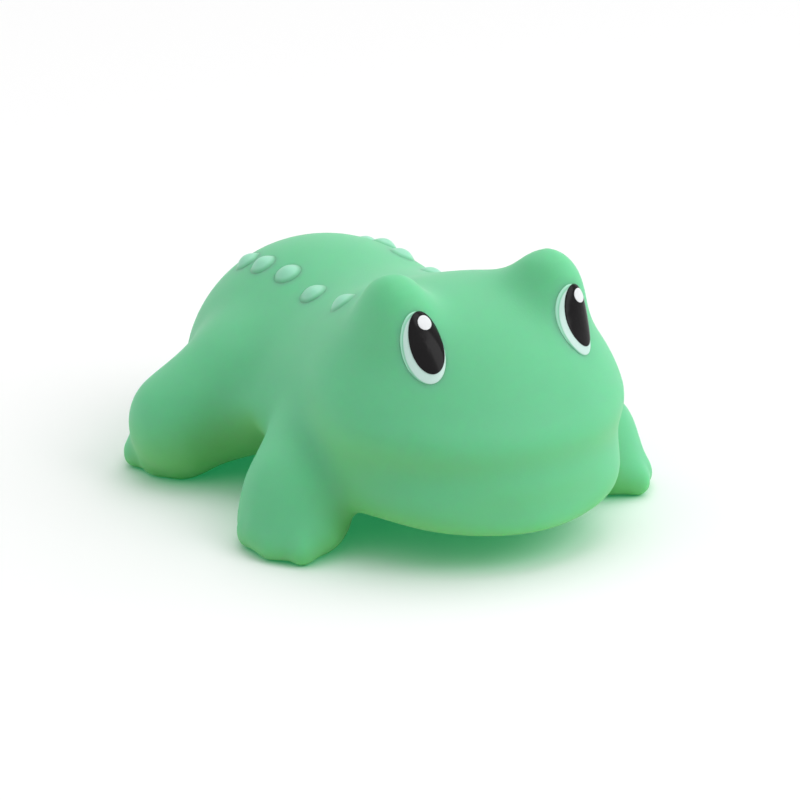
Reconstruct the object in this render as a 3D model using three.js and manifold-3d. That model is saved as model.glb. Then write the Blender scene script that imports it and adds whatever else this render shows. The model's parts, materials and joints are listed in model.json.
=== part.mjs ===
// Frog squirt bath toy: a hollow soft vinyl skin that squirts water through a nozzle plug in its belly.
// Millimetres, +Z up. The frog looks along -Y, its left is +X, and it stands on the floor at z = 0.
import * as THREE from "three";
import { mergeVertices } from "three/addons/utils/BufferGeometryUtils.js";
import Module from "manifold-3d";

const wasm = await Module();
wasm.setup();
const { Manifold, Mesh } = wasm;

// Trunk: a round hump over the hips, a nape in front of it and a belly, cut level above the floor.
const HUMP = { at: [0, 27.9, 13.8], radii: [29.6, 33.4, 29.9] };
const NAPE = { at: [0, -7.5, 25.2], radii: [24, 26, 13.6], fillet: 14.4 };
const BELLY = { at: [0, 4, 15], radii: [30, 41, 16], fillet: 12 };
const UNDERSIDE = { height: 6, fillet: 4 };

// Head: a wide skull tipped forward, a flat crown, a jaw and a mound behind each eye.
const SKULL = { at: [0, -29.2, 27.6], radii: [30.4, 24, 17.3], pitch: 30.5, fillet: 16 };
const CROWN = { at: [0, -18.9, 34.7], radii: [19, 16.4, 6.3], fillet: 5.6 };
const JAW = { at: [0, -32.6, 12], radii: [26.9, 25.5, 9], fillet: 9 };
const EYE_MOUND = { at: [16.9, -29, 44.4], radii: [6.7, 8.2, 8.5], fillet: 7 };

// Mouth: a soft fold round the face, nearly gone at the front and deepest at its corners.
const MOUTH = { height: 22, spread: 3.5, corner: 27, shallow: 0.15, deep: 1, fadeFrom: -40, fadeTo: -30 };

// Limbs: each leg is a tapered column from the trunk to a flat foot with a fan of toes.
const FRONT_LEG = {
  top: [24.6, -12.5, 15.4],
  topRadius: 10.2,
  ankle: [32.5, -19, 9.7],
  ankleRadius: 10.5,
  fillet: 2.5,
};
const FRONT_FOOT = { at: [34, -20.3, 4.5], radii: [8.8, 12, 6], fillet: 5 };
const FRONT_TOE_ANGLES = [12, -26, -64];
const HIND_LEG = {
  top: [23.5, 21.8, 18.7],
  topRadius: 12.6,
  ankle: [35.5, 24.7, 11.4],
  ankleRadius: 11.3,
  fillet: 6,
};
const HIND_FOOT = { at: [34.5, 32.7, 4.5], radii: [8.4, 11, 6], fillet: 4 };
const HIND_TOE_ANGLES = [4, -36, -72];
const TOE = { radius: 3.2, height: 2.8, fillet: 1.9, inset: 0.7 };

// Skin: wall of the hollow moulding, and how finely its outside and its inside are meshed.
const WALL = 2.2;
const REACH = { low: [-60, -70, -9], high: [60, 66, 66] };
const OUTER_CELL = { size: 3.6, foot: 2.3 };
const INNER_CELL = { size: 6.2, foot: 6.2 };
const FLOOR_MARGIN = 0.05;

// Eyes: a white bead, a pupil set up and to the frog's left on it, and a round glint on the pupil.
const EYE = { at: [16.6, -38.7, 42.1], yaw: 16, pitch: 31, roll: 10 };
const EYE_WHITE = { width: 7.9, height: 13.6, edge: 0.5, dome: 0.4, shift: [0, 0], rings: 3, segments: 36 };
const EYE_PUPIL = { width: 6.4, height: 11.5, edge: 0.3, dome: 0, shift: [0.6, 0.9], rings: 3, segments: 32 };
const EYE_GLINT = { width: 2.8, height: 2.8, edge: 0.2, dome: 0, shift: [1.4, 4.5], rings: 2, segments: 18 };

// Back spots: two rows of painted domes along the hump, each placed by how far out and how far back it lies.
const SPOT = { width: 5.2, height: 5.2, edge: 0.25, dome: 1.1, shift: [0, 0], rings: 2, segments: 16 };
const SPOT_PLACES = [[17, -9.5], [13.8, 9.5], [13.4, 21.2], [14.4, 30.2], [14.2, 37.6]];

// Gap between a painted layer and what it lies on, and how far above or below the skin it is looked for.
const PAINT_GAP = 0.15;
const SEARCH = 9;

// Nozzle plug: a flange let into the belly, a neck through the wall, a barb inside it and a jet bore.
const PLUG = { y: 6, length: 9, neck: 6, flange: 8, flangeThick: 1, barb: 7.2, barbThick: 1.5, tip: 4 };
const PLUG_JET = 1.25;
const PLUG_FIT = 0.25;
const PLUG_SEGMENTS = 40;

const VINYL = new THREE.MeshStandardMaterial({ color: 0x6fd3a0, roughness: 0.5, metalness: 0 });
const SPOT_PAINT = new THREE.MeshStandardMaterial({ color: 0x9ae6c8, roughness: 0.5, metalness: 0 });
const WHITE_PAINT = new THREE.MeshStandardMaterial({ color: 0xe4f2ee, roughness: 0.4, metalness: 0 });
const BLACK_PAINT = new THREE.MeshStandardMaterial({ color: 0x141416, roughness: 0.35, metalness: 0 });
const PLUG_PLASTIC = new THREE.MeshStandardMaterial({ color: 0xdff0e6, roughness: 0.4, metalness: 0 });

// Distance from p to an ellipsoid that is tipped forward by pitch, close to true near its surface.
function ellipsoidDistance(p, { at, radii, pitch = 0 }) {
  const tip = THREE.MathUtils.degToRad(-pitch);
  const { x, y, z } = p.clone().sub(new THREE.Vector3(...at)).applyAxisAngle(new THREE.Vector3(1, 0, 0), tip);
  const near = Math.hypot(x / radii[0], y / radii[1], z / radii[2]);
  const slope = Math.hypot(x / radii[0] ** 2, y / radii[1] ** 2, z / radii[2] ** 2);
  return slope > 0 ? (near * (near - 1)) / slope : -Math.min(...radii);
}

// Distance from p to a round column whose radius changes evenly from top to ankle.
function columnDistance(p, { top, topRadius, ankle, ankleRadius }) {
  const from = new THREE.Vector3(...top);
  const axis = new THREE.Vector3(...ankle).sub(from);
  const t = THREE.MathUtils.clamp(p.clone().sub(from).dot(axis) / axis.lengthSq(), 0, 1);
  const radius = THREE.MathUtils.lerp(topRadius, ankleRadius, t);
  return from.addScaledVector(axis, t).distanceTo(p) - radius;
}

// Joins two distances with a fillet of the given width.
function filleted(a, b, width) {
  const h = Math.max(width - Math.abs(a - b), 0) / width;
  return Math.min(a, b) - (h * h * width) / 4;
}

function toesOf(foot, angles) {
  return angles.map((degrees) => {
    const angle = THREE.MathUtils.degToRad(degrees);
    const x = foot.at[0] + (foot.radii[0] - TOE.inset) * Math.cos(angle);
    const y = foot.at[1] + (foot.radii[1] - TOE.inset) * Math.sin(angle);
    return { at: [x, y, TOE.height], radii: [TOE.radius, TOE.radius, TOE.radius] };
  });
}

const LIMBS = [
  [FRONT_LEG, FRONT_FOOT, toesOf(FRONT_FOOT, FRONT_TOE_ANGLES)],
  [HIND_LEG, HIND_FOOT, toesOf(HIND_FOOT, HIND_TOE_ANGLES)],
];

// How deep the mouth fold is at p.
function mouthDepth(p) {
  const outward = THREE.MathUtils.smoothstep(Math.abs(p.x), MOUTH.corner / 3, MOUTH.corner);
  const depth = THREE.MathUtils.lerp(MOUTH.shallow, MOUTH.deep, outward);
  const fade = 1 - THREE.MathUtils.smoothstep(p.y, MOUTH.fadeFrom, MOUTH.fadeTo);
  return depth * fade * Math.exp(-(((p.z - MOUTH.height) / MOUTH.spread) ** 2));
}

// Signed distance to the outside of the skin, positive outside and the same on both sides of the frog.
// Without the feet it shapes the hollow, because the feet are moulded nearly solid.
function skinDistance(p, feet = true) {
  const side = p.clone().setX(Math.abs(p.x));
  let trunk = ellipsoidDistance(p, HUMP);
  trunk = filleted(trunk, ellipsoidDistance(p, BELLY), BELLY.fillet);
  trunk = filleted(trunk, ellipsoidDistance(p, NAPE), NAPE.fillet);
  let head = filleted(ellipsoidDistance(p, SKULL), ellipsoidDistance(p, JAW), JAW.fillet);
  head = filleted(head, ellipsoidDistance(p, CROWN), CROWN.fillet);
  head = filleted(head, ellipsoidDistance(side, EYE_MOUND), EYE_MOUND.fillet) + mouthDepth(p);
  let body = filleted(trunk, head, SKULL.fillet);
  body = -filleted(-body, p.z - UNDERSIDE.height, UNDERSIDE.fillet);
  for (const [leg, foot, toes] of LIMBS) {
    let limb = columnDistance(side, leg);
    if (feet) limb = filleted(limb, ellipsoidDistance(side, foot), foot.fillet);
    if (feet) for (const toe of toes) limb = filleted(limb, ellipsoidDistance(side, toe), TOE.fillet);
    body = filleted(body, limb, leg.fillet);
  }
  return body;
}

function slopeOf(field, p) {
  const e = 0.01;
  const slope = ["x", "y", "z"].map((axis) => {
    const ahead = p.clone();
    const behind = p.clone();
    ahead[axis] += e;
    behind[axis] -= e;
    return (field(ahead) - field(behind)) / (2 * e);
  });
  return new THREE.Vector3(...slope);
}

// Grid lines across the reach on one axis, closer together where a line crosses a foot.
function gridLines(axis, cell) {
  const lines = [];
  let at = REACH.low[axis];
  while (at < REACH.high[axis] + cell.size) {
    lines.push(at);
    const along = axis === 0 ? Math.abs(at) : at;
    const onFoot = ({ at: middle, radii }) => Math.abs(along - middle[axis]) < radii[axis] + TOE.radius;
    at += [FRONT_FOOT, HIND_FOOT].some(onFoot) ? cell.foot : cell.size;
  }
  return lines;
}

// Closed surface where field equals level: one vertex per grid cell that it crosses, moved onto it,
// and one quad round each grid edge that it crosses.
function levelSurface(field, level, cell) {
  const lines = [0, 1, 2].map((axis) => gridLines(axis, cell));
  const counts = lines.map((l) => l.length);
  const place = (i, j, k) => new THREE.Vector3(lines[0][i], lines[1][j], lines[2][k]);
  const index = (i, j, k) => (k * counts[1] + j) * counts[0] + i;
  const values = new Float64Array(counts[0] * counts[1] * counts[2]);
  for (let k = 0; k < counts[2]; k++)
    for (let j = 0; j < counts[1]; j++)
      for (let i = 0; i < counts[0]; i++) values[index(i, j, k)] = field(place(i, j, k)) - level;

  const vertices = [];
  const vertexOf = new Map();
  const vertexIn = (i, j, k) => {
    const id = index(i, j, k);
    if (vertexOf.has(id)) return vertexOf.get(id);
    const sum = new THREE.Vector3();
    let crossings = 0;
    for (let corner = 0; corner < 8; corner++)
      for (let axis = 0; axis < 3; axis++) {
        if (corner & (1 << axis)) continue;
        const a = [i + (corner & 1), j + ((corner >> 1) & 1), k + ((corner >> 2) & 1)];
        const b = a.map((v, m) => v + (m === axis ? 1 : 0));
        const fa = values[index(...a)];
        const fb = values[index(...b)];
        if (fa < 0 === fb < 0) continue;
        sum.add(place(...a).lerp(place(...b), fa / (fa - fb)));
        crossings++;
      }
    const p = sum.divideScalar(crossings);
    for (let pass = 0; pass < 4; pass++) {
      const slope = slopeOf(field, p);
      p.addScaledVector(slope, (level - field(p)) / slope.lengthSq());
    }
    vertexOf.set(id, vertices.length);
    vertices.push(p);
    return vertices.length - 1;
  };

  const triangles = [];
  const steps = [[1, 0, 0], [0, 1, 0], [0, 0, 1]];
  for (let k = 1; k < counts[2] - 1; k++)
    for (let j = 1; j < counts[1] - 1; j++)
      for (let i = 1; i < counts[0] - 1; i++)
        for (let axis = 0; axis < 3; axis++) {
          const s = steps[axis];
          const inside = values[index(i, j, k)] < 0;
          if (inside === values[index(i + s[0], j + s[1], k + s[2])] < 0) continue;
          const u = steps[(axis + 1) % 3];
          const v = steps[(axis + 2) % 3];
          const ring = [[1, 1], [0, 1], [0, 0], [1, 0]].map(([m, n]) => {
            const back = (a) => m * u[a] + n * v[a];
            return vertexIn(i - back(0), j - back(1), k - back(2));
          });
          if (!inside) ring.reverse();
          triangles.push(ring[0], ring[1], ring[2], ring[0], ring[2], ring[3]);
        }
  return new THREE.BufferGeometry().setFromPoints(vertices).setIndex(triangles);
}

// Level surface on a grid that is made a little finer until no edge has more than two faces.
function closedSurface(field, level, cell) {
  for (let scale = 1; scale > 0.6; scale *= 0.98) {
    const surface = levelSurface(field, level, { size: cell.size * scale, foot: cell.foot * scale });
    const corners = surface.index.array;
    const faces = new Map();
    for (let i = 0; i < corners.length; i++) {
      const next = i % 3 === 2 ? i - 2 : i + 1;
      const edge = Math.min(corners[i], corners[next]) + ":" + Math.max(corners[i], corners[next]);
      faces.set(edge, (faces.get(edge) ?? 0) + 1);
    }
    if ([...faces.values()].every((count) => count === 2)) return surface;
  }
  throw new Error("no grid gives a closed skin");
}

// Solid for joins and cuts, with shared corners merged and triangles without area left out.
function toManifold(geometry) {
  geometry.deleteAttribute("normal");
  geometry.deleteAttribute("uv");
  const merged = mergeVertices(geometry);
  const corners = merged.index.array;
  const triVerts = [];
  for (let i = 0; i < corners.length; i += 3) {
    const [a, b, c] = corners.slice(i, i + 3);
    if (a !== b && b !== c && c !== a) triVerts.push(a, b, c);
  }
  const vertProperties = merged.getAttribute("position").array;
  return new Manifold(new Mesh({ numProp: 3, vertProperties, triVerts: new Uint32Array(triVerts) }));
}

function toGeometry(solid) {
  const mesh = solid.getMesh();
  const geometry = new THREE.BufferGeometry();
  geometry.setAttribute("position", new THREE.BufferAttribute(new Float32Array(mesh.vertProperties), 3));
  geometry.setIndex(Array.from(mesh.triVerts));
  return geometry;
}

// Turned solid about a vertical axis from a closed profile of radius and height.
function turned(profile, y, z) {
  const points = profile.map(([radius, height]) => new THREE.Vector2(radius, height));
  return new THREE.LatheGeometry(points, PLUG_SEGMENTS).rotateX(Math.PI / 2).translate(0, y, z);
}

// Skin: the outside cut level with the floor, less the hollow inside and the stepped hole for the plug.
function skinGeometry() {
  const outside = closedSurface(skinDistance, 0, OUTER_CELL);
  const position = outside.getAttribute("position");
  for (let i = 0; i < position.count; i++) {
    if (Math.abs(position.getZ(i)) < FLOOR_MARGIN) position.setZ(i, -FLOOR_MARGIN);
  }
  const reach = REACH.high.map((high, axis) => high - REACH.low[axis]);
  const floor = new THREE.BoxGeometry(reach[0], reach[1], -REACH.low[2]).translate(0, 0, REACH.low[2] / 2);

  const aboveFloor = (p) => Math.max(skinDistance(p, false), -p.z);
  const hollow = closedSurface(aboveFloor, -WALL, INNER_CELL);

  const recess = PLUG.flange + PLUG_FIT;
  const step = PLUG.flangeThick + PLUG_FIT;
  const hole = PLUG.neck + PLUG_FIT;
  const seat = [[0, -WALL], [recess, -WALL], [recess, step], [hole, step], [hole, 2 * WALL], [0, 2 * WALL]];
  let solid = toManifold(outside).subtract(toManifold(floor)).subtract(toManifold(hollow));
  solid = solid.subtract(toManifold(turned(seat, PLUG.y, UNDERSIDE.height)));
  return toGeometry(solid);
}

// Plug: turned profile from the jet bore out over the flange, up the neck and barb and in at the tip.
function plugGeometry() {
  const barbFoot = WALL + PLUG_FIT;
  const profile = [
    [PLUG_JET, 0],
    [PLUG.flange, 0],
    [PLUG.flange, PLUG.flangeThick],
    [PLUG.neck, PLUG.flangeThick],
    [PLUG.neck, barbFoot],
    [PLUG.barb, barbFoot],
    [PLUG.barb, barbFoot + PLUG.barbThick],
    [PLUG.tip, PLUG.length],
    [PLUG_JET, PLUG.length],
    [PLUG_JET, 0],
  ];
  return turned(profile, PLUG.y, UNDERSIDE.height);
}

// Point on the line through p along facing where the skin's distance reaches level.
function raisedPoint(p, facing, level) {
  let low = -SEARCH;
  let high = SEARCH;
  for (let pass = 0; pass < 40; pass++) {
    const middle = (low + high) / 2;
    if (skinDistance(p.clone().addScaledVector(facing, middle)) < level) low = middle;
    else high = middle;
  }
  return p.clone().addScaledVector(facing, low);
}

// Height of an oval layer's underside and top above the skin, at x, y from the centre of the lowest layer.
function undersideLevel(layers, x, y) {
  const below = layers.slice(0, -1);
  return (below.length ? topLevel(below, x, y) : 0) + PAINT_GAP;
}
function topLevel(layers, x, y) {
  const { width, height, edge, dome, shift } = layers.at(-1);
  const r = Math.hypot((2 * (x - shift[0])) / width, (2 * (y - shift[1])) / height);
  return undersideLevel(layers, x, y) + edge + dome * (1 - r * r);
}

// Oval solid that lies on the skin or on the layers under it, turned by roll about facing from its centre.
function layerGeometry(layers, centre, facing, roll = 0) {
  const { width, height, shift, rings, segments } = layers.at(-1);
  const across = new THREE.Vector3(0, 0, 1).cross(facing).normalize().applyAxisAngle(facing, roll);
  const upward = facing.clone().cross(across);
  const vertex = (levelAt, ring, segment) => {
    const angle = (2 * Math.PI * segment) / segments;
    const x = shift[0] + (width / 2) * (ring / rings) * Math.cos(angle);
    const y = shift[1] + (height / 2) * (ring / rings) * Math.sin(angle);
    const flat = centre.clone().addScaledVector(across, x).addScaledVector(upward, y);
    return raisedPoint(flat, facing, levelAt(layers, x, y));
  };
  const vertices = [vertex(topLevel, 0, 0)];
  for (let ring = 1; ring <= rings; ring++)
    for (let s = 0; s < segments; s++) vertices.push(vertex(topLevel, ring, s));
  for (let ring = rings; ring >= 1; ring--)
    for (let s = 0; s < segments; s++) vertices.push(vertex(undersideLevel, ring, s));
  vertices.push(vertex(undersideLevel, 0, 0));

  const triangles = [];
  const last = vertices.length - 1;
  const at = (row, s) => 1 + row * segments + (s % segments);
  for (let s = 0; s < segments; s++) {
    triangles.push(0, at(0, s), at(0, s + 1));
    for (let row = 0; row < 2 * rings - 1; row++) {
      triangles.push(at(row, s), at(row + 1, s), at(row + 1, s + 1));
      triangles.push(at(row, s), at(row + 1, s + 1), at(row, s + 1));
    }
    triangles.push(at(2 * rings - 1, s), last, at(2 * rings - 1, s + 1));
  }
  return new THREE.BufferGeometry().setFromPoints(vertices).setIndex(triangles);
}

const frog = new THREE.Group();

function add(name, geometry, material) {
  geometry.computeVertexNormals();
  const mesh = new THREE.Mesh(geometry, material);
  mesh.name = name;
  frog.add(mesh);
  return mesh;
}

const skin = add("body_skin", skinGeometry(), VINYL);
add("squirt_plug", plugGeometry(), PLUG_PLASTIC);

for (const [side, sign] of [["left", 1], ["right", -1]]) {
  const yaw = sign * THREE.MathUtils.degToRad(EYE.yaw);
  const pitch = THREE.MathUtils.degToRad(EYE.pitch);
  const gaze = [Math.sin(yaw) * Math.cos(pitch), -Math.cos(yaw) * Math.cos(pitch), Math.sin(pitch)];
  const facing = new THREE.Vector3(...gaze);
  const roll = -sign * THREE.MathUtils.degToRad(EYE.roll);
  const centre = raisedPoint(new THREE.Vector3(sign * EYE.at[0], EYE.at[1], EYE.at[2]), facing, 0);
  const eyeLayer = (...layers) => layerGeometry(layers, centre, facing, roll);
  add(`eye_white_${side}`, eyeLayer(EYE_WHITE), WHITE_PAINT);
  add(`eye_pupil_${side}`, eyeLayer(EYE_WHITE, EYE_PUPIL), BLACK_PAINT);
  add(`eye_glint_${side}`, eyeLayer(EYE_WHITE, EYE_PUPIL, EYE_GLINT), WHITE_PAINT);

  SPOT_PLACES.forEach(([out, back], i) => {
    const above = new THREE.Vector3(sign * out, back, HUMP.at[2] + HUMP.radii[2]);
    const onSkin = raisedPoint(above, new THREE.Vector3(0, 0, 1), 0);
    const outward = slopeOf(skinDistance, onSkin).normalize();
    add(`back_spot_${side}_${i + 1}`, layerGeometry([SPOT], onSkin, outward), SPOT_PAINT);
  });
}

// The origin lies on the floor under the middle of the frog's box.
skin.geometry.computeBoundingBox();
frog.position.y = -(skin.geometry.boundingBox.min.y + skin.geometry.boundingBox.max.y) / 2;

export default frog;
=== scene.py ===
import json
import math

import bmesh
import bpy
from mathutils import Matrix, Vector
from mathutils.bvhtree import BVHTree


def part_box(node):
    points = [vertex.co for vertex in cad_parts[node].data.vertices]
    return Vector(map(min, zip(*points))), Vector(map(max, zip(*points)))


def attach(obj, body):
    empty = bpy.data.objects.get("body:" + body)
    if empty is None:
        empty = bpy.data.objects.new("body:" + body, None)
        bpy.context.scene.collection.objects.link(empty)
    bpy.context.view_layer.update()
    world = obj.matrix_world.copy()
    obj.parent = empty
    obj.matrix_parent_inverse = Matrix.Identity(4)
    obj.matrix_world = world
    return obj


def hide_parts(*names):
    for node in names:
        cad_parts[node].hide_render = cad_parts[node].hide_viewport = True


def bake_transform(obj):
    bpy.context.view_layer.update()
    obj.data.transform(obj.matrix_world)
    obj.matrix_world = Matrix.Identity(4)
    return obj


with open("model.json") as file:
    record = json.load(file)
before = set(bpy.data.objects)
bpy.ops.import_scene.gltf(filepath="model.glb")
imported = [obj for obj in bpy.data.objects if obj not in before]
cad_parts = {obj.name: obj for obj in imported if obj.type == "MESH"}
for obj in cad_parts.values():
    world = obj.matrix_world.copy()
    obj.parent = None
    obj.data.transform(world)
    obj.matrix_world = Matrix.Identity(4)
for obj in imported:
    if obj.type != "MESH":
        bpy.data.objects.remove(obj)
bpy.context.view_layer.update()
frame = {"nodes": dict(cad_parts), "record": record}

# Body skin. One hollow moulding of soft vinyl with an even wall, with head, trunk, legs and toes in one.
# It is cast against the inside of a heated mould and pulled out whole, so every fold is rounded and the
# finish is an even satin. Light sinks in a little, and painted shade turns sheltered folds a yellower
# green.
SKIN_VOXEL = 0.0009
SKIN_MERGE = 1e-6
SKIN_SMOOTHING = {"iterations": 22, "factor": 0.5}
FOOT_SMOOTHING = {"iterations": 6, "factor": 0.5}
SHORT_SMOOTHING = {"iterations": 3, "factor": 0.5}
FOOT_TOP = (0.004, 0.011)
FOOT_INNER = (0.018, 0.024)
FOOT_SOLE = 0.004
FOOT_FADE = (0.003, 0.010)
FOOT_REACH = 0.020
FOOT_SECTORS = 48
TOE_SPAN = 4
TOE_FILL = 0.65
TOE_FACING = (0.0, 0.5)
FACE_AXIS = (0.0, -0.0267)
LIP = {"height": 0.0250, "spread": 0.0040, "out": 0.0024, "turn": (math.radians(28), math.radians(98))}
CHIN = {"height": 0.0126, "spread": 0.0036, "out": -0.0031, "turn": (math.radians(12), math.radians(50))}
JAW = {
    "pivot": -0.050,
    "slope": 0.11,
    "below": (0.010, 0.022),
    "before": (-0.030, -0.022),
    "beside": (0.022, 0.029),
}
NAPE = {
    "beside": 0.0150,
    "behind": -0.0150,
    "across": 0.0090,
    "along": 0.0100,
    "above": (0.020, 0.032),
    "up": 0.0012,
}
MOUND = {"beside": 0.0169, "before": -0.0307, "reach": 0.0075, "above": (0.040, 0.048), "up": 0.0009}
ARCH = {"behind": 0.0025, "along": 0.0060, "out": (0.016, 0.028), "below": (0.008, 0.026), "up": 0.0055}
SHELTER_RAYS = 40
SHELTER_OPEN = (0.12, 0.68)
SHELTER_LIFT = 0.0002
SHELTER_BLUR = 8
# The skin's own colour, and the darker, yellower painted shade it takes where the toy hides the sky.
SKIN_OPEN_COLOUR = (0.170, 0.605, 0.318, 1.0)
SKIN_PAINTED_SHADE_COLOUR = (0.168, 0.520, 0.170, 1.0)
SKIN_TONE = (0.95, 1.05)
SKIN_GRAIN = {"cloud_scale": 55.0, "grain_scale": 1800.0, "roughness": (0.40, 0.56), "bump": 0.10}
SKIN_VINYL = {
    "Specular IOR Level": 0.12,
    "Subsurface Weight": 0.85,
    "Subsurface Radius": (0.3, 1.0, 0.5),
    "Subsurface Scale": 0.005,
}
GRAIN_DEPTH = 0.0002


def ramp(value, low, high):
    """Rises smoothly from 0 at low to 1 at high."""
    share = min(max((value - low) / (high - low), 0.0), 1.0)
    return share * share * (3 - 2 * share)


def take_shape(piece):
    """Makes what the modifiers give into the piece's own mesh."""
    graph = bpy.context.evaluated_depsgraph_get()
    shaped = bpy.data.meshes.new_from_object(piece.evaluated_get(graph))
    piece.modifiers.clear()
    piece.data = shaped


def soften(piece, smoothing, group=""):
    """Smooths the piece's mesh, all over or by a vertex group's weights."""
    smooth = piece.modifiers.new("smooth", "SMOOTH")
    smooth.iterations = smoothing["iterations"]
    smooth.factor = smoothing["factor"]
    smooth.vertex_group = group


def put(tree, kind, values=None, **settings):
    """Adds a node, sets its named properties and its inputs by name or number."""
    node = tree.nodes.new(kind)
    for name, value in settings.items():
        setattr(node, name, value)
    for socket, value in (values or {}).items():
        node.inputs[socket].default_value = value
    return node


def finish_named(name, values=None):
    """A new material with plain values on its shader: its node tree and its shader come back with it."""
    finish = bpy.data.materials.new(name)
    finish.use_nodes = True
    shader = finish.node_tree.nodes["Principled BSDF"]
    for socket, value in (values or {}).items():
        shader.inputs[socket].default_value = value
    return finish, finish.node_tree, shader


def mixed(tree, share, first, second):
    """A colour mix: share, first and second are sockets, or plain values."""
    mix = put(tree, "ShaderNodeMix", data_type="RGBA")
    for number, source in ((0, share), (6, first), (7, second)):
        if isinstance(source, bpy.types.NodeSocket):
            tree.links.new(source, mix.inputs[number])
        else:
            mix.inputs[number].default_value = source
    return mix.outputs[2]


def fill_toes(mesh, sole):
    """Makes the grooves between a foot's toes shallower, out towards the line from toe to toe."""
    wall = []
    rim = [0.0] * FOOT_SECTORS
    for vertex in mesh.vertices:
        arm = Vector((vertex.co.x - sole.x, vertex.co.y - sole.y, 0.0))
        if arm.length > FOOT_REACH or vertex.co.z > FOOT_FADE[1]:
            continue
        sector = (math.atan2(arm.y, arm.x) / (2 * math.pi) + 0.5) * FOOT_SECTORS
        outward = vertex.normal.dot(arm.normalized())
        if outward > 0:
            wall.append((vertex, arm.normalized(), sector, ramp(outward, *TOE_FACING)))
            if vertex.co.z < FOOT_SOLE:
                number = int(sector) % FOOT_SECTORS
                rim[number] = max(rim[number], arm.length)
    short = []
    for number in range(FOOT_SECTORS):
        span = 0.0
        for step in range(1, TOE_SPAN + 1):
            span = max(span, (rim[number - step] + rim[(number + step) % FOOT_SECTORS]) / 2)
        short.append(max(span - rim[number], 0.0))
    for vertex, arm, sector, outward in wall:
        at = sector - 0.5
        low = math.floor(at)
        gap = short[low % FOOT_SECTORS] * (low + 1 - at) + short[(low + 1) % FOOT_SECTORS] * (at - low)
        vertex.co += arm * TOE_FILL * gap * outward * (1 - ramp(vertex.co.z, *FOOT_FADE))


skin = bpy.data.objects.new("skin", frame["nodes"]["body_skin"].data.copy())
bpy.context.scene.collection.objects.link(skin)
shell = bmesh.new()
shell.from_mesh(skin.data)
bmesh.ops.remove_doubles(shell, verts=shell.verts, dist=SKIN_MERGE)
shell.to_mesh(skin.data)
shell.free()
remesh = skin.modifiers.new("remesh", "REMESH")
remesh.mode = "VOXEL"
remesh.voxel_size = SKIN_VOXEL
take_shape(skin)

# The feet are softened less than the trunk, so that their toes stay.
trunk = skin.vertex_groups.new(name="trunk")
for vertex in skin.data.vertices:
    above_foot = ramp(vertex.co.z, *FOOT_TOP)
    inside_foot = 1 - ramp(abs(vertex.co.x), *FOOT_INNER)
    trunk.add([vertex.index], max(above_foot, inside_foot), "REPLACE")
# The lip stands out, the chin is drawn in, and the jaw, nape, eye mounds and flanks are lifted.
for vertex in skin.data.vertices:
    out = Vector((vertex.co.x - FACE_AXIS[0], vertex.co.y - FACE_AXIS[1], 0.0))
    for band in (LIP, CHIN):
        share = math.exp(-((vertex.co.z - band["height"]) / band["spread"]) ** 2)
        share *= 1 - ramp(abs(math.atan2(out.x, -out.y)), *band["turn"])
        vertex.co += out.normalized() * band["out"] * share
    x, y, z = vertex.co
    jaw = (1 - ramp(z, *JAW["below"])) * (1 - ramp(y, *JAW["before"]))
    jaw *= 1 - ramp(abs(x), *JAW["beside"])
    nape_across = (abs(x) - NAPE["beside"]) / NAPE["across"]
    nape_along = (y - NAPE["behind"]) / NAPE["along"]
    nape = math.exp(-nape_across ** 2 - nape_along ** 2)
    from_mound = math.hypot(abs(x) - MOUND["beside"], y - MOUND["before"])
    mound = math.exp(-(from_mound / MOUND["reach"]) ** 2)
    arch = math.exp(-((y - ARCH["behind"]) / ARCH["along"]) ** 2) * ramp(abs(x), *ARCH["out"])
    vertex.co.z += JAW["slope"] * (y - JAW["pivot"]) * jaw
    vertex.co.z += NAPE["up"] * nape * ramp(z, *NAPE["above"])
    vertex.co.z += MOUND["up"] * mound * ramp(z, *MOUND["above"])
    vertex.co.z += ARCH["up"] * arch * (1 - ramp(z, *ARCH["below"]))
soften(skin, SKIN_SMOOTHING, "trunk")
soften(skin, FOOT_SMOOTHING)
take_shape(skin)
skin.vertex_groups.clear()

for mount in frame["record"]["mounts"]:
    if mount["name"].startswith("sole_front"):
        fill_toes(skin.data, Vector(mount["pos_m"]))
soften(skin, SHORT_SMOOTHING)
take_shape(skin)
skin_surface = BVHTree.FromPolygons(
    [vertex.co.copy() for vertex in skin.data.vertices],
    [tuple(face.vertices) for face in skin.data.polygons],
)

# Painted shade: 0 where a point sees the open sky and 1 where the toy hides it, evened out along the edges.
rays = []
for step in range(SHELTER_RAYS):
    steep = (step + 0.5) / SHELTER_RAYS
    around = step * math.pi * (3 - math.sqrt(5))
    flat = math.sqrt(1 - steep * steep)
    rays.append(Vector((flat * math.cos(around), flat * math.sin(around), steep)))
painted_shade = []
for vertex in skin.data.vertices:
    lit = 0.0
    for ray in rays:
        share = vertex.normal.dot(ray)
        if share > 0 and skin_surface.ray_cast(vertex.co + vertex.normal * SHELTER_LIFT, ray)[0] is None:
            lit += share
    painted_shade.append(1 - ramp(2 * lit / SHELTER_RAYS, *SHELTER_OPEN))
for _ in range(SHELTER_BLUR):
    total = painted_shade[:]
    count = [1] * len(painted_shade)
    for edge in skin.data.edges:
        first, second = edge.vertices
        total[first] += painted_shade[second]
        total[second] += painted_shade[first]
        count[first] += 1
        count[second] += 1
    painted_shade = [amount / number for amount, number in zip(total, count)]
skin.data.attributes.new("painted_shade", "FLOAT", "POINT").data.foreach_set("value", painted_shade)
skin.data.shade_smooth()

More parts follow.
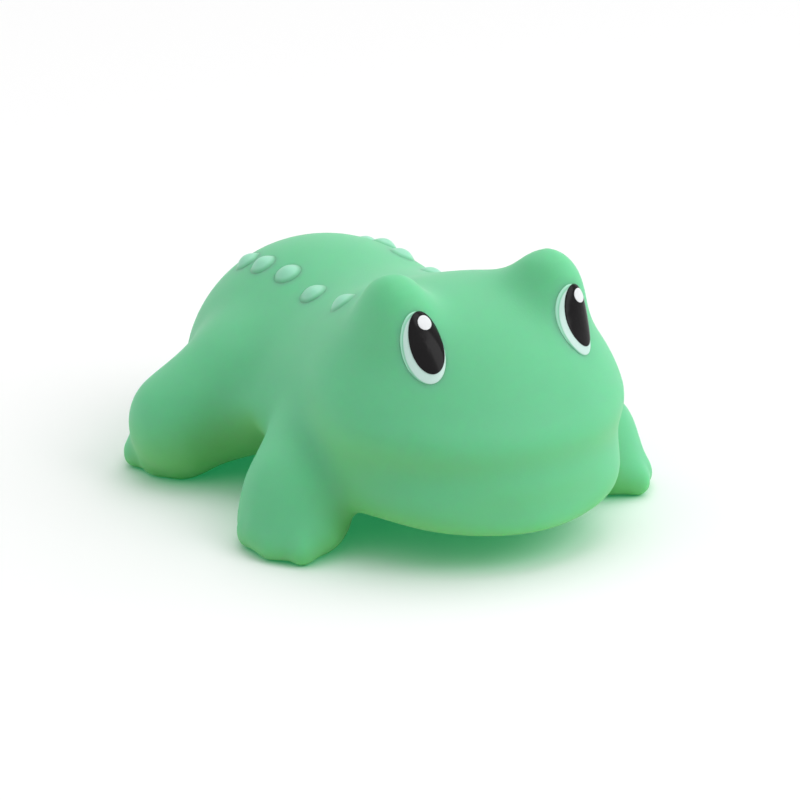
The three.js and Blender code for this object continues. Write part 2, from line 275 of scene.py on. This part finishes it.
# The grain of vinyl and paint: a slow cloud and a fine speck, which every finish takes at its own scale.
grain = bpy.data.node_groups.new("vinyl_grain", "ShaderNodeTree")
grain.interface.new_socket("Cloud Scale", in_out="INPUT", socket_type="NodeSocketFloat")
grain.interface.new_socket("Grain Scale", in_out="INPUT", socket_type="NodeSocketFloat")
grain.interface.new_socket("Cloud", in_out="OUTPUT", socket_type="NodeSocketFloat")
grain.interface.new_socket("Grain", in_out="OUTPUT", socket_type="NodeSocketFloat")
grain_in = grain.nodes.new("NodeGroupInput")
grain_out = grain.nodes.new("NodeGroupOutput")
grain_place = grain.nodes.new("ShaderNodeTexCoord")
cloud = put(grain, "ShaderNodeTexNoise", {"Detail": 3.0, "Roughness": 0.55})
speck = put(grain, "ShaderNodeTexNoise", {"Detail": 2.0, "Roughness": 0.6})
grain.links.new(grain_place.outputs["Object"], cloud.inputs["Vector"])
grain.links.new(grain_place.outputs["Object"], speck.inputs["Vector"])
grain.links.new(grain_in.outputs["Cloud Scale"], cloud.inputs["Scale"])
grain.links.new(grain_in.outputs["Grain Scale"], speck.inputs["Scale"])
grain.links.new(cloud.outputs["Fac"], grain_out.inputs["Cloud"])
grain.links.new(speck.outputs["Fac"], grain_out.inputs["Grain"])


def grain_in_finish(tree, shader, cloud_scale, grain_scale, roughness, bump):
    """Places the vinyl grain in a finish: it varies the roughness and the fine relief."""
    texture = put(tree, "ShaderNodeGroup", node_tree=grain)
    texture.inputs["Cloud Scale"].default_value = cloud_scale
    texture.inputs["Grain Scale"].default_value = grain_scale
    spread = put(tree, "ShaderNodeMapRange", {"To Min": roughness[0], "To Max": roughness[1]})
    tree.links.new(texture.outputs["Cloud"], spread.inputs["Value"])
    tree.links.new(spread.outputs["Result"], shader.inputs["Roughness"])
    relief = put(tree, "ShaderNodeBump", {"Strength": bump, "Distance": GRAIN_DEPTH})
    tree.links.new(texture.outputs["Grain"], relief.inputs["Height"])
    tree.links.new(relief.outputs["Normal"], shader.inputs["Normal"])
    return texture


skin_finish, skin_tree, skin_shader = finish_named("mint_vinyl", SKIN_VINYL)
skin_texture = grain_in_finish(skin_tree, skin_shader, **SKIN_GRAIN)
painted_shade_mask = put(skin_tree, "ShaderNodeAttribute", attribute_name="painted_shade")
# Painted shade: the skin's colour goes to a darker, yellower green as the toy hides more of the sky.
skin_colour = mixed(skin_tree, painted_shade_mask.outputs["Fac"], SKIN_OPEN_COLOUR, SKIN_PAINTED_SHADE_COLOUR)
skin_tone = put(skin_tree, "ShaderNodeMapRange", {"To Min": SKIN_TONE[0], "To Max": SKIN_TONE[1]})
skin_tree.links.new(skin_texture.outputs["Cloud"], skin_tone.inputs["Value"])
skin_shade = put(skin_tree, "ShaderNodeVectorMath", operation="SCALE")
skin_tree.links.new(skin_colour, skin_shade.inputs[0])
skin_tree.links.new(skin_tone.outputs["Result"], skin_shade.inputs["Scale"])
skin_tree.links.new(skin_shade.outputs["Vector"], skin_shader.inputs["Base Color"])
skin.data.materials.clear()
skin.data.materials.append(skin_finish)
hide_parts("body_skin")
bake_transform(skin)

# Squirt plug. A turned plug of firmer plastic pressed into the hole in the belly: a thin flange lies in the
# skin's seat, a barb behind it holds the plug, and a fine bore through the middle is the jet.
PLUG_SEGMENTS = 96
PLUG_FLANGE = 0.0080
PLUG_FLANGE_THICK = 0.0010
PLUG_NECK_TOP = 0.00245
PLUG_NECK = 0.0060
PLUG_BARB = 0.0072
PLUG_BARB_THICK = 0.0015
PLUG_TIP = 0.0040
PLUG_JET = 0.00125
PLUG_ROUND = 0.0002
PLUG_ROUND_STEPS = 3
PLUG_COLOUR = (0.74, 0.86, 0.79, 1.0)
PLUG_SHADE = (0.62, 0.76, 0.68, 1.0)
PLUG_GRAIN = {"cloud_scale": 140.0, "grain_scale": 2600.0, "roughness": (0.34, 0.5), "bump": 0.08}

plug_low, plug_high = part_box("squirt_plug")
plug_middle = (plug_low + plug_high) / 2
wall_top = plug_low.z + PLUG_NECK_TOP
profile = [
    (PLUG_JET, plug_low.z),
    (PLUG_FLANGE, plug_low.z),
    (PLUG_FLANGE, plug_low.z + PLUG_FLANGE_THICK),
    (PLUG_NECK, plug_low.z + PLUG_FLANGE_THICK),
    (PLUG_NECK, wall_top),
    (PLUG_BARB, wall_top),
    (PLUG_BARB, wall_top + PLUG_BARB_THICK),
    (PLUG_TIP, plug_high.z),
    (PLUG_JET, plug_high.z),
]
turning = bmesh.new()
corners = [turning.verts.new((plug_middle.x + r, plug_middle.y, z)) for r, z in profile]
for pair in zip(corners, corners[1:] + corners[:1]):
    turning.edges.new(pair)
bmesh.ops.bevel(
    turning,
    geom=corners,
    offset=PLUG_ROUND,
    affect="VERTICES",
    segments=PLUG_ROUND_STEPS,
    profile=0.5,
    material=-1,
)
bmesh.ops.spin(
    turning,
    geom=turning.verts[:] + turning.edges[:],
    cent=(plug_middle.x, plug_middle.y, 0),
    axis=(0, 0, 1),
    angle=2 * math.pi,
    steps=PLUG_SEGMENTS,
    use_merge=True,
)
bmesh.ops.remove_doubles(turning, verts=turning.verts, dist=SKIN_MERGE)
bmesh.ops.recalc_face_normals(turning, faces=turning.faces)


def in_scene(name, mesh):
    """Puts a finished bmesh in the scene as a smooth-shaded object."""
    data = bpy.data.meshes.new(name)
    mesh.to_mesh(data)
    mesh.free()
    data.shade_smooth()
    piece = bpy.data.objects.new(name, data)
    bpy.context.scene.collection.objects.link(piece)
    return piece


plug = in_scene("plug", turning)
plug_finish, plug_tree, plug_shader = finish_named("pale_plug_plastic")
plug_texture = grain_in_finish(plug_tree, plug_shader, **PLUG_GRAIN)
plug_colour = mixed(plug_tree, plug_texture.outputs["Cloud"], PLUG_SHADE, PLUG_COLOUR)
plug_tree.links.new(plug_colour, plug_shader.inputs["Base Color"])
plug.data.materials.append(plug_finish)
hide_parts("squirt_plug")
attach(plug, "body")

# Eyes. Each is a low oval bead on the eye mound, sprayed white a little off centre, which leaves a green
# line of bare bead on one side, edged by a pale painted highlight where the bead's rim meets the light.
# A black oval is printed on the white, and a white dot on the black. The paint is glossier than the skin
# and follows the mound's curve.
EYE_YAW = math.radians(19)
EYE_PITCH = math.radians(31)
EYE_ROLL = math.radians(10)
EYE_SEGMENTS = 72
EYE_RINGS = 36
EYE_SUNK = 0.0007
EYE_LIFT = 0.012
EYE_SHIFT = {1: (0.0009, -0.0002), -1: (-0.0002, -0.00045)}
BEAD = {
    "width": 0.0081,
    "height": 0.0138,
    "thick": 0.00065,
    "power": 2.6,
    "shift": (0.0, 0.0),
    "base": 0.0,
}
PUPIL = {
    "width": 0.0065,
    "height": 0.0121,
    "thick": 0.00012,
    "power": 6.0,
    "shift": (0.0008, 0.0008),
    "base": 0.00008,
}
GLINT = {
    "width": 0.0028,
    "height": 0.0028,
    "thick": 0.00010,
    "power": 5.0,
    "shift": (0.0014, 0.0045),
    "base": 0.0002,
}
WHITE_OFF = (0.06, -0.05)
WHITE_REACH = (0.94, 0.98)
RIM_HIGHLIGHT_REACH = (1.00, 1.03)
WHITE_COLOUR = (0.64, 0.84, 0.78, 1.0)
WHITE_THIN_COLOUR = (0.54, 0.77, 0.69, 1.0)
# The pale rim colour is a painted highlight on the bead's outer edge.
RIM_HIGHLIGHT_COLOUR = (0.46, 0.88, 0.68, 1.0)
WHITE_EDGE_COLOUR = (0.22, 0.62, 0.40, 1.0)
PUPIL_COLOUR = (0.003, 0.0025, 0.003, 1.0)
PUPIL_GREY = (0.008, 0.007, 0.008, 1.0)
GLINT_COLOUR = (0.84, 0.86, 0.87, 1.0)
GLINT_THIN_COLOUR = (0.78, 0.80, 0.82, 1.0)
WHITE_GRAIN = {"cloud_scale": 260.0, "grain_scale": 2600.0, "roughness": (0.26, 0.38), "bump": 0.05}
PUPIL_GRAIN = {"cloud_scale": 320.0, "grain_scale": 2600.0, "roughness": (0.12, 0.20), "bump": 0.03}
GLINT_GRAIN = {"cloud_scale": 400.0, "grain_scale": 2600.0, "roughness": (0.26, 0.34), "bump": 0.04}
PUPIL_PAINT = {"Specular IOR Level": 0.15}


def dome(reach, power):
    """Height of a round cap of unit size at a share of its reach, flatter on top with a higher power."""
    return max(1 - reach ** power, 0.0) ** (1 / power)


def eye_layer(name, side, layer):
    """An oval lens of paint that lies on the skin of one eye mound: side is 1 on the frog's left."""
    low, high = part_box("eye_white_left" if side > 0 else "eye_white_right")
    facing = Vector((
        side * math.sin(EYE_YAW) * math.cos(EYE_PITCH),
        -math.cos(EYE_YAW) * math.cos(EYE_PITCH),
        math.sin(EYE_PITCH),
    ))
    across = Vector((0, 0, 1)).cross(facing).normalized()
    across.rotate(Matrix.Rotation(-side * EYE_ROLL, 3, facing))
    up = facing.cross(across)
    middle = (low + high) / 2
    lens = bmesh.new()
    bmesh.ops.create_uvsphere(lens, u_segments=EYE_SEGMENTS, v_segments=EYE_RINGS, radius=1.0)
    bare = lens.verts.layers.float.new("bare")
    rim = lens.verts.layers.float.new("rim")
    for vertex in lens.verts:
        reach = math.hypot(vertex.co.x, vertex.co.y)
        printed = math.hypot(vertex.co.x - WHITE_OFF[0], vertex.co.y - WHITE_OFF[1])
        vertex[bare] = ramp(printed, *WHITE_REACH)
        # rim marks the painted highlight: a pale line on the bead's outer edge, on the side left bare.
        vertex[rim] = ramp(printed, *RIM_HIGHLIGHT_REACH)
        rise = dome(reach, layer["power"])
        x = layer["shift"][0] + vertex.co.x * layer["width"] / 2
        y = layer["shift"][1] + vertex.co.y * layer["height"] / 2
        place = middle + across * (x + EYE_SHIFT[side][0]) + up * (y + EYE_SHIFT[side][1])
        struck = skin_surface.ray_cast(place + facing * EYE_LIFT, -facing)[0]
        level = layer["base"] + (layer["thick"] * rise if vertex.co.z > 0 else -EYE_SUNK * rise)
        if layer is not BEAD:
            over_bead = math.hypot(2 * x / BEAD["width"], 2 * y / BEAD["height"])
            level += BEAD["thick"] * dome(over_bead, BEAD["power"])
        vertex.co = struck + facing * level
    bmesh.ops.recalc_face_normals(lens, faces=lens.faces)
    return in_scene(name, lens)


white_finish, white_tree, white_shader = finish_named("eye_white_paint")
white_texture = grain_in_finish(white_tree, white_shader, **WHITE_GRAIN)
white_bare = put(white_tree, "ShaderNodeAttribute", attribute_name="bare")
white_paint = mixed(white_tree, white_texture.outputs["Cloud"], WHITE_THIN_COLOUR, WHITE_COLOUR)
white_edge = mixed(white_tree, white_bare.outputs["Fac"], white_paint, WHITE_EDGE_COLOUR)
# Painted highlight: the bead's outer edge on the bare side is made pale, as if it caught the light.
white_rim_highlight = put(white_tree, "ShaderNodeAttribute", attribute_name="rim")
white_colour = mixed(white_tree, white_rim_highlight.outputs["Fac"], white_edge, RIM_HIGHLIGHT_COLOUR)
white_tree.links.new(white_colour, white_shader.inputs["Base Color"])

pupil_finish, pupil_tree, pupil_shader = finish_named("eye_black_paint", PUPIL_PAINT)
pupil_texture = grain_in_finish(pupil_tree, pupil_shader, **PUPIL_GRAIN)
pupil_colour = mixed(pupil_tree, pupil_texture.outputs["Cloud"], PUPIL_COLOUR, PUPIL_GREY)
pupil_tree.links.new(pupil_colour, pupil_shader.inputs["Base Color"])

glint_finish, glint_tree, glint_shader = finish_named("eye_glint_paint")
glint_texture = grain_in_finish(glint_tree, glint_shader, **GLINT_GRAIN)
glint_colour = mixed(glint_tree, glint_texture.outputs["Cloud"], GLINT_THIN_COLOUR, GLINT_COLOUR)
glint_tree.links.new(glint_colour, glint_shader.inputs["Base Color"])

for side, hand in ((1, "left"), (-1, "right")):
    for part, layer, finish, slot in (
        ("white", BEAD, white_finish, "eye_white"),
        ("pupil", PUPIL, pupil_finish, "eye_black"),
        ("glint", GLINT, glint_finish, "eye_white"),
    ):
        piece = eye_layer(f"{part}_{hand}", side, layer)
        piece.data.materials.append(finish)
        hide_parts(f"eye_{part}_{hand}")
        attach(piece, "body")

# Back spots. Two rows of five small domes moulded on the back, their crowns sprayed with pale mint paint
# that thins out towards the skin, so that each spot has a soft edge.
SPOT_ACROSS = 0.0058
SPOT_RISE = 0.0013
SPOT_EDGE = 1.1
SPOT_SUNK = 0.0008
SPOT_LIFT = 0.006
SPOT_COUNT = 5
SPOT_SEGMENTS = 40
SPOT_RINGS = 24
SPOT_SPRAY = (0.06, 0.50)
SPOT_CROWN_COLOUR = (0.33, 0.74, 0.53, 1.0)
SPOT_GRAIN = {"cloud_scale": 300.0, "grain_scale": 2200.0, "roughness": (0.32, 0.46), "bump": 0.08}
SPOT_PAINT = {
    "Specular IOR Level": 0.3,
    "Subsurface Weight": 0.5,
    "Subsurface Radius": (0.45, 1.0, 0.65),
    "Subsurface Scale": 0.002,
}

spot_finish, spot_tree, spot_shader = finish_named("pale_spot_paint", SPOT_PAINT)
grain_in_finish(spot_tree, spot_shader, **SPOT_GRAIN)
crown_mask = put(spot_tree, "ShaderNodeAttribute", attribute_name="crown")
spot_colour = mixed(spot_tree, crown_mask.outputs["Fac"], SKIN_OPEN_COLOUR, SPOT_CROWN_COLOUR)
spot_tree.links.new(spot_colour, spot_shader.inputs["Base Color"])

for hand in ("left", "right"):
    for number in range(1, SPOT_COUNT + 1):
        low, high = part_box(f"back_spot_{hand}_{number}")
        seat, out, _, _ = skin_surface.find_nearest((low + high) / 2)
        turn = Vector((0, 0, 1)).rotation_difference(out).to_matrix()
        bump = bmesh.new()
        bmesh.ops.create_uvsphere(bump, u_segments=SPOT_SEGMENTS, v_segments=SPOT_RINGS, radius=1.0)
        crown = bump.verts.layers.float.new("crown")
        for vertex in bump.verts:
            height = max(1 - vertex.co.x ** 2 - vertex.co.y ** 2, 0.0) ** SPOT_EDGE
            vertex[crown] = ramp(height, *SPOT_SPRAY) if vertex.co.z > 0 else 0.0
            level = SPOT_RISE * height if vertex.co.z > 0 else -SPOT_SUNK * height
            place = seat + turn @ Vector((vertex.co.x, vertex.co.y, 0.0)) * SPOT_ACROSS / 2
            struck = skin_surface.ray_cast(place + out * SPOT_LIFT, -out)[0]
            vertex.co = struck + out * level
        bmesh.ops.recalc_face_normals(bump, faces=bump.faces)
        spot = in_scene(f"spot_{hand}_{number}", bump)
        spot.data.materials.append(spot_finish)
        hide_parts(f"back_spot_{hand}_{number}")
        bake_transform(spot)

# Floor, light and camera. A plain white sweep under soft light from above and from the picture's right,
# with a softbox before the face, seen over the frog's right front foot through a long lens. Close to the
# toy the floor is tinted and lit green, in place of the light that thin vinyl lets through.
CAMERA_TARGET = Vector((0.0007, -0.001703, 0.017))
CAMERA_AZIMUTH = math.radians(-29.5)
CAMERA_ELEVATION = math.radians(19.0)
CAMERA_DISTANCE = 0.6
CAMERA_LENS = 135.0
CAMERA_SENSOR = 36.0
FLOOR_SIZE = 4.0
FLOOR_CHALK = {"Roughness": 1.0, "Specular IOR Level": 0.0, "Emission Strength": 1.0}
FLOOR_COLOUR = (0.985, 0.985, 0.985, 1.0)
FLOOR_NEAR_COLOUR = (0.50, 0.93, 0.74, 1.0)
GLOW_COLOUR = (0.006, 0.115, 0.052, 1.0)
GLOW_NONE = (0.0, 0.0, 0.0, 1.0)
GLOW_REACH = 0.04
GLOW_POWER = 2.0
GLOW_RAYS = 16
WHITE_SKY = (1.0, 1.0, 1.0, 1.0)
SKY_LOW = 0.06
SKY_TOP = ((0.0, 0.0, 1.0), 0.60, 1.2)
SKY_RIGHT = ((0.85, -0.35, 0.25), 1.15, 2.0)
SKY_LEFT = ((-0.80, 0.35, 0.35), 0.40, 2.0)
KEY_FROM = (0.25, 0.28, 0.93)
KEY_ENERGY = 0.7
KEY_SPREAD = math.radians(50)
BOX_FROM = Vector((0.36, -0.66, 0.66))
BOX_DISTANCE = 0.8
BOX_SIZE = 0.42
BOX_POWER = 1.1

floor_mesh = bmesh.new()
bmesh.ops.create_grid(floor_mesh, x_segments=2, y_segments=2, size=FLOOR_SIZE)
floor = in_scene("floor", floor_mesh)
floor_finish, floor_tree, floor_shader = finish_named("white_floor", FLOOR_CHALK)
floor_near = put(floor_tree, "ShaderNodeAmbientOcclusion", {"Distance": GLOW_REACH}, samples=GLOW_RAYS)
floor_shut = put(floor_tree, "ShaderNodeMath", {0: 1.0}, operation="SUBTRACT")
floor_tree.links.new(floor_near.outputs["AO"], floor_shut.inputs[1])
floor_glow = put(floor_tree, "ShaderNodeMath", {1: GLOW_POWER}, operation="POWER")
floor_tree.links.new(floor_shut.outputs["Value"], floor_glow.inputs[0])
floor_colour = mixed(floor_tree, floor_glow.outputs["Value"], FLOOR_COLOUR, FLOOR_NEAR_COLOUR)
floor_tree.links.new(floor_colour, floor_shader.inputs["Base Color"])
floor_light = mixed(floor_tree, floor_glow.outputs["Value"], GLOW_NONE, GLOW_COLOUR)
floor_tree.links.new(floor_light, floor_shader.inputs["Emission Color"])
floor.data.materials.append(floor_finish)

world = bpy.data.worlds.new("studio")
bpy.context.scene.world = world
world.use_nodes = True
world_tree = world.node_tree
world_shade = world_tree.nodes["Background"]
world_place = world_tree.nodes.new("ShaderNodeTexCoord")
world_level = put(world_tree, "ShaderNodeValue")
world_level.outputs["Value"].default_value = SKY_LOW
light_level = world_level.outputs["Value"]
for towards, strength, power in (SKY_TOP, SKY_RIGHT, SKY_LEFT):
    middle = Vector(towards).normalized()
    lobe = put(world_tree, "ShaderNodeVectorMath", {1: middle}, operation="DOT_PRODUCT")
    world_tree.links.new(world_place.outputs["Generated"], lobe.inputs[0])
    upper = put(world_tree, "ShaderNodeMath", {1: 0.0}, operation="MAXIMUM")
    world_tree.links.new(lobe.outputs["Value"], upper.inputs[0])
    spread = put(world_tree, "ShaderNodeMath", {1: power}, operation="POWER")
    world_tree.links.new(upper.outputs["Value"], spread.inputs[0])
    added = put(world_tree, "ShaderNodeMath", {1: strength}, operation="MULTIPLY_ADD")
    world_tree.links.new(spread.outputs["Value"], added.inputs[0])
    world_tree.links.new(light_level, added.inputs[2])
    light_level = added.outputs["Value"]
world_path = world_tree.nodes.new("ShaderNodeLightPath")
mirrored = put(world_tree, "ShaderNodeMath", operation="MAXIMUM")
world_tree.links.new(world_path.outputs["Is Glossy Ray"], mirrored.inputs[0])
world_tree.links.new(world_path.outputs["Is Transmission Ray"], mirrored.inputs[1])
seen = put(world_tree, "ShaderNodeMath", operation="MAXIMUM")
world_tree.links.new(world_path.outputs["Is Camera Ray"], seen.inputs[0])
world_tree.links.new(mirrored.outputs["Value"], seen.inputs[1])
level = put(world_tree, "ShaderNodeMix", {3: 1.0}, data_type="FLOAT")
world_tree.links.new(seen.outputs["Value"], level.inputs[0])
world_tree.links.new(light_level, level.inputs[2])
world_tree.links.new(level.outputs[0], world_shade.inputs["Strength"])
world_shade.inputs["Color"].default_value = WHITE_SKY

key = bpy.data.lights.new("key", "SUN")
key.energy = KEY_ENERGY
key.angle = KEY_SPREAD
key_lamp = bpy.data.objects.new("key", key)
key_lamp.rotation_euler = (-Vector(KEY_FROM)).to_track_quat("-Z", "Y").to_euler()
bpy.context.scene.collection.objects.link(key_lamp)

box = bpy.data.lights.new("softbox", "AREA")
box.size = BOX_SIZE
box.energy = BOX_POWER
box_lamp = bpy.data.objects.new("softbox", box)
box_lamp.location = CAMERA_TARGET + BOX_FROM.normalized() * BOX_DISTANCE
box_lamp.rotation_euler = (-BOX_FROM).to_track_quat("-Z", "Y").to_euler()
bpy.context.scene.collection.objects.link(box_lamp)

camera = bpy.data.cameras.new("camera")
camera.lens = CAMERA_LENS
camera.sensor_width = CAMERA_SENSOR
camera_rig = bpy.data.objects.new("camera", camera)
back = Vector((
    math.sin(CAMERA_AZIMUTH) * math.cos(CAMERA_ELEVATION),
    -math.cos(CAMERA_AZIMUTH) * math.cos(CAMERA_ELEVATION),
    math.sin(CAMERA_ELEVATION),
))
camera_rig.location = CAMERA_TARGET + back * CAMERA_DISTANCE
camera_rig.rotation_euler = (-back).to_track_quat("-Z", "Y").to_euler()
bpy.context.scene.collection.objects.link(camera_rig)
bpy.context.scene.camera = camera_rig
bpy.context.scene.view_settings.view_transform = "Standard"
